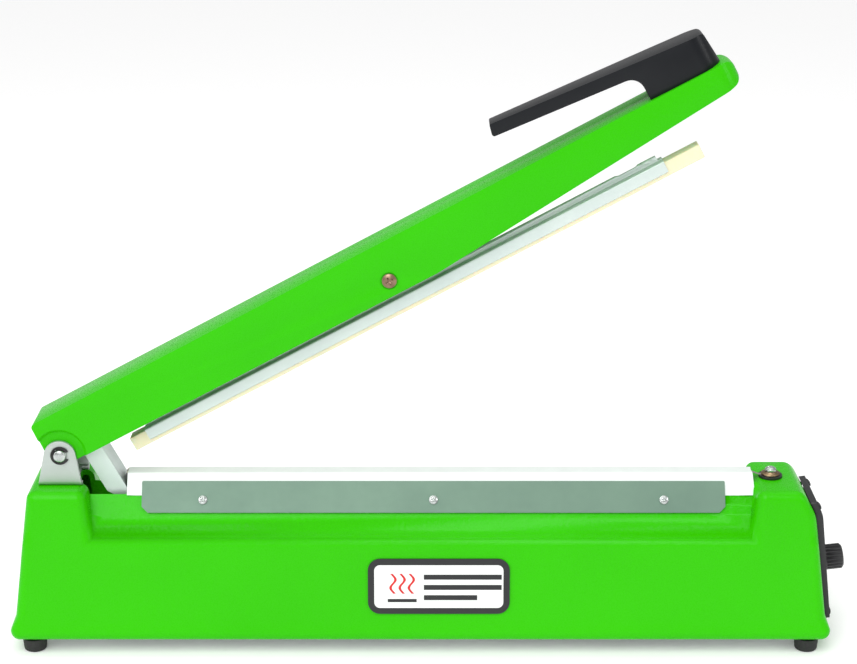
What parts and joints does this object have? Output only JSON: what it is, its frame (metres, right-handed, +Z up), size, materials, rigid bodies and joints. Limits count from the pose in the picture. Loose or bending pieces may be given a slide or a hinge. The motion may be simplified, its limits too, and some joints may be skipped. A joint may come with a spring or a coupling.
{
  "type": "impulse heat sealer",
  "caption": "Table-top impulse heat sealer: tapered cast base with a raised sealing edge, hinged spring-raised arm with a rocking press bar, and a timer panel at one end.",
  "frame": {"origin": "on the table, under the middle of the machine's overall box", "axes": "+X from the hinge end to the control end, +Y to the back, +Z up"},
  "size_m": [0.5544, 0.084, 0.4072],
  "materials": {
    "green_paint": "glossy hammered enamel",
    "zinc_sheet": "satin",
    "plated_steel": "bright zinc plate",
    "black_plastic": "satin",
    "black_rubber": "matte",
    "fibre_board": "matte, heat resistant",
    "glass_cloth": "woven glass tape",
    "element_alloy": "rolled ribbon",
    "ptfe_cloth": "coated glass cloth, satin",
    "silicone": "matte",
    "brass": "satin",
    "bronze_screw": "passivated",
    "green_lens": "clear lens",
    "red_lens": "clear lens",
    "circuit_board": "solder mask",
    "relay_case": "moulded",
    "capacitor_sleeve": "shrink sleeve",
    "core_steel": "varnished laminations",
    "winding": "varnished winding",
    "badge_white": "printed foil"
  },
  "bodies": {
    "base": {"base_housing": "green_paint", "bottom_plate": "zinc_sheet", "foot_front_left": "black_rubber", "foot_front_right": "black_rubber", "foot_rear_left": "black_rubber", "foot_rear_right": "black_rubber", "foot_screws": "plated_steel", "hinge_bracket": "zinc_sheet", "hinge_bracket_screws": "plated_steel", "hinge_pin": "plated_steel", "hinge_clips": "black_plastic", "seal_rail": "fibre_board", "rail_screws": "plated_steel", "glass_tape": "glass_cloth", "heating_element": "element_alloy", "nonstick_sheet": "ptfe_cloth", "press_plate_front": "zinc_sheet", "press_plate_rear": "zinc_sheet", "press_plate_screws": "plated_steel", "terminal_bush": "fibre_board", "terminal_washer": "brass", "terminal_screw": "plated_steel", "terminal_nut": "brass", "tail_block": "fibre_board", "tail_screw": "plated_steel", "control_panel": "black_plastic", "panel_screws": "black_plastic", "timer_potentiometer": "plated_steel", "potentiometer_nut": "plated_steel", "power_lamp": "green_lens", "sealing_lamp": "red_lens", "timer_board": "circuit_board", "board_relay": "relay_case", "board_capacitor": "capacitor_sleeve", "transformer_core": "core_steel", "transformer_winding": "winding", "transformer_frame": "zinc_sheet", "transformer_screws": "plated_steel", "micro_switch": "black_plastic", "switch_bracket": "zinc_sheet", "switch_screws": "plated_steel", "cord_grommet": "black_rubber", "badge_plate": "black_plastic", "badge_face": "badge_white", "spring_anchor": "zinc_sheet", "return_spring": "plated_steel"},
    "arm": {"arm_shell": "green_paint", "handle": "black_plastic", "handle_screws": "plated_steel", "spring_bracket": "zinc_sheet", "spring_bracket_screws": "plated_steel", "pivot_screw": "bronze_screw", "pivot_spacers": "plated_steel", "pivot_nut": "plated_steel"},
    "press_bar": {"press_bar": "zinc_sheet", "silicone_strip": "silicone"},
    "timer_knob": {"timer_knob": "black_plastic"},
    "switch_lever": {"switch_lever": "plated_steel"}
  },
  "joints": [
    {"name": "arm", "type": "hinge", "parent": "base", "child": "arm", "pos_m": [-0.242, 0, 0.1325], "axis": [0, 1, 0], "range_deg": [0, 26.5], "stiffness_Nm_per_rad": 3, "springref_deg": -57.3, "deforming": ["return_spring"]},
    {"name": "press_bar", "type": "hinge", "parent": "arm", "child": "press_bar", "pos_m": [-0.02635, 0, 0.25089], "axis": [0, 1, 0], "range_deg": [0, 1.8]},
    {"name": "timer_knob", "type": "hinge", "parent": "base", "child": "timer_knob", "pos_m": [0.25754, 0, 0.052], "axis": [0.9932, 0, 0.1167], "range_deg": [-270, 0]},
    {"name": "switch_lever", "type": "hinge", "parent": "base", "child": "switch_lever", "pos_m": [-0.2389, 0, 0.07707], "axis": [0, 1, 0], "range_deg": [0, 7], "stiffness_Nm_per_rad": 0.02, "springref_deg": -11.46}
  ],
  "couplings": [
    {"joint": "press_bar", "follows": "arm", "ratio": 0.0679}
  ]
}
